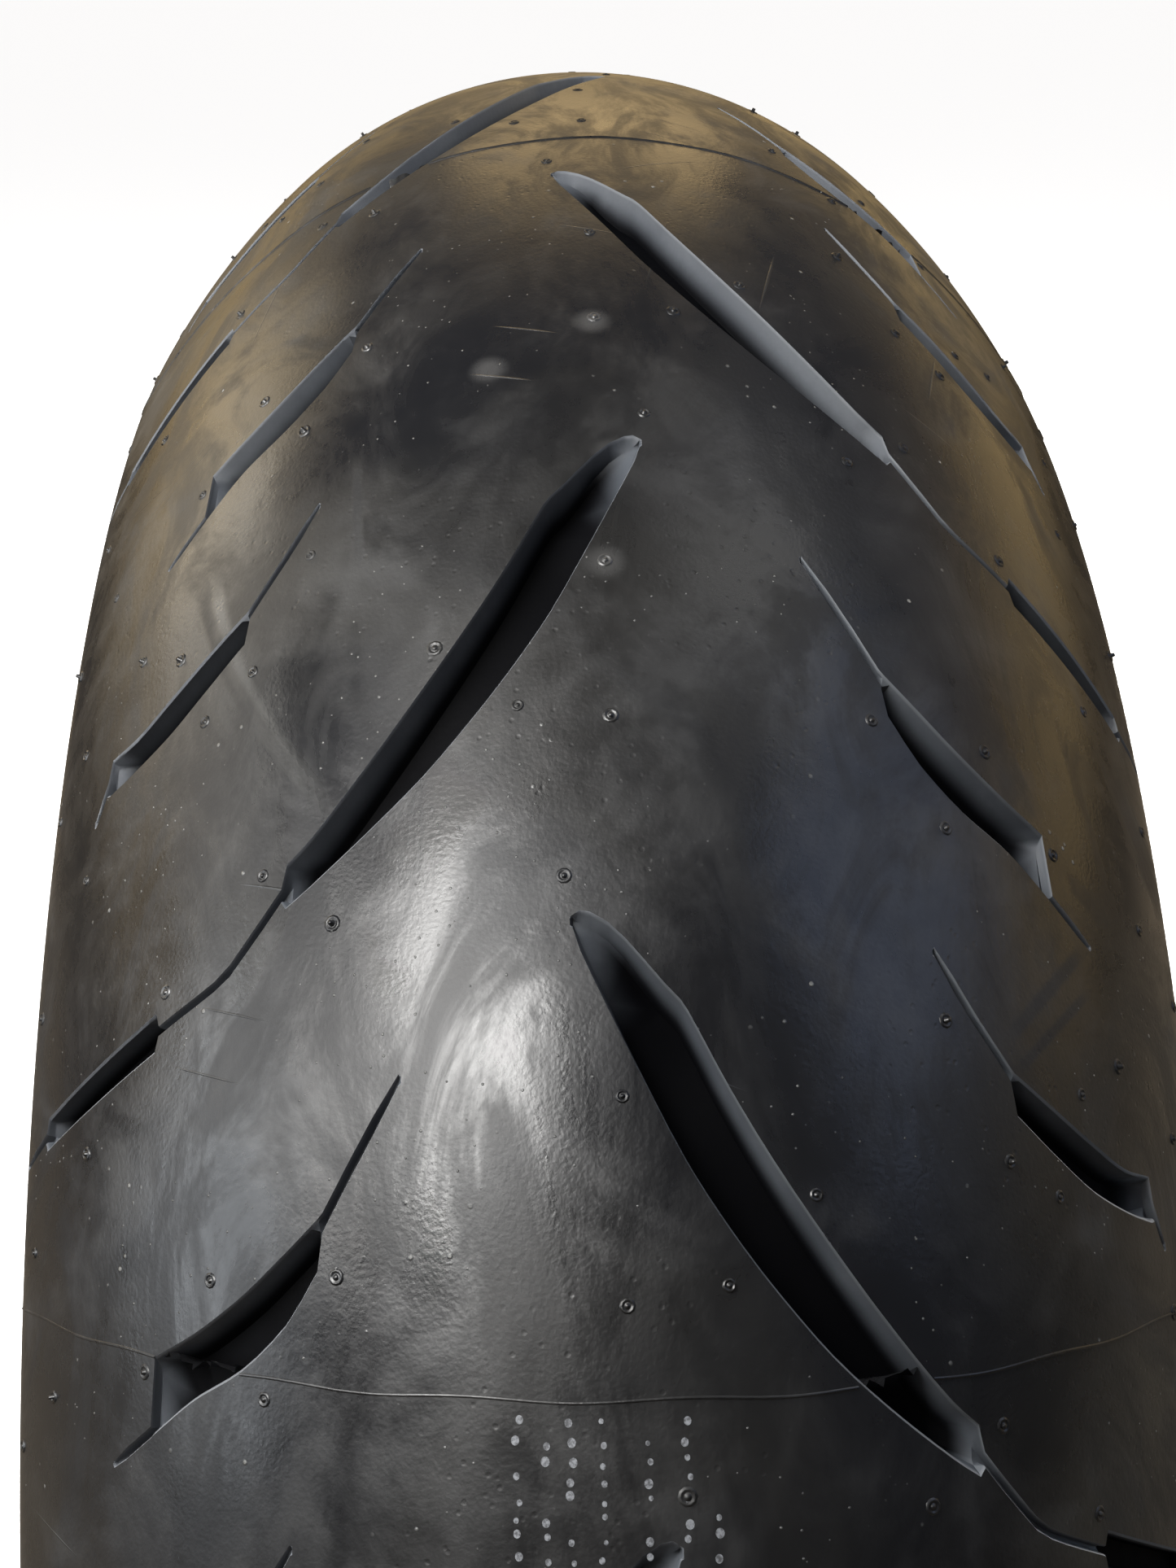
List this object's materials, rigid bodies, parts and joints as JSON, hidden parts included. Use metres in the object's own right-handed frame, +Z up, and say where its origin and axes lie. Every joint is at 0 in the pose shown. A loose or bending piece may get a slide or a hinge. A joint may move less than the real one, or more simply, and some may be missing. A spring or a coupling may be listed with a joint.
{
  "type": "motorcycle tyre",
  "caption": "Wide, strongly rounded rear motorcycle tyre with long curved tread grooves, low sidewalls, radial plies and wire bead rings that seat on a wheel rim.",
  "frame": {"origin": "the wheel centre: on the spin axis, midway between the two beads", "axes": "+Y along the spin axis, +Z up with the tyre standing on its tread, +X horizontal"},
  "size_m": [0.652, 0.1988, 0.652],
  "materials": {
    "tread_rubber": "semi-gloss new tread rubber with scuffs, dust and moulding nubs",
    "side_rubber": "satin moulded rubber with fine concentric ribs",
    "liner_rubber": "matt butyl with the curing bladder's fine vent lines",
    "base_rubber": "matt compound",
    "ply_cord": "rubber-dipped parallel textile cord",
    "chafer_fabric": "square-woven rubberised fabric",
    "brass_coated_steel": "drawn steel wire with a thin brass coat"
  },
  "bodies": {
    "root": {"tread_cap": "tread_rubber", "tread_base": "base_rubber", "belt_rubber": "base_rubber", "belt_cords": "brass_coated_steel", "belt_edge_cushion_left": "base_rubber", "belt_edge_cushion_right": "base_rubber", "outer_ply": "ply_cord", "inner_ply": "ply_cord", "inner_liner": "liner_rubber", "sidewall_left": "side_rubber", "sidewall_right": "side_rubber", "rim_cushion_left": "side_rubber", "rim_cushion_right": "side_rubber", "chafer_left": "chafer_fabric", "chafer_right": "chafer_fabric", "bead_filler_left": "base_rubber", "bead_filler_right": "base_rubber", "bead_rubber_left": "base_rubber", "bead_rubber_right": "base_rubber", "bead_wires_left": "brass_coated_steel", "bead_wires_right": "brass_coated_steel"}
  },
  "joints": []
}
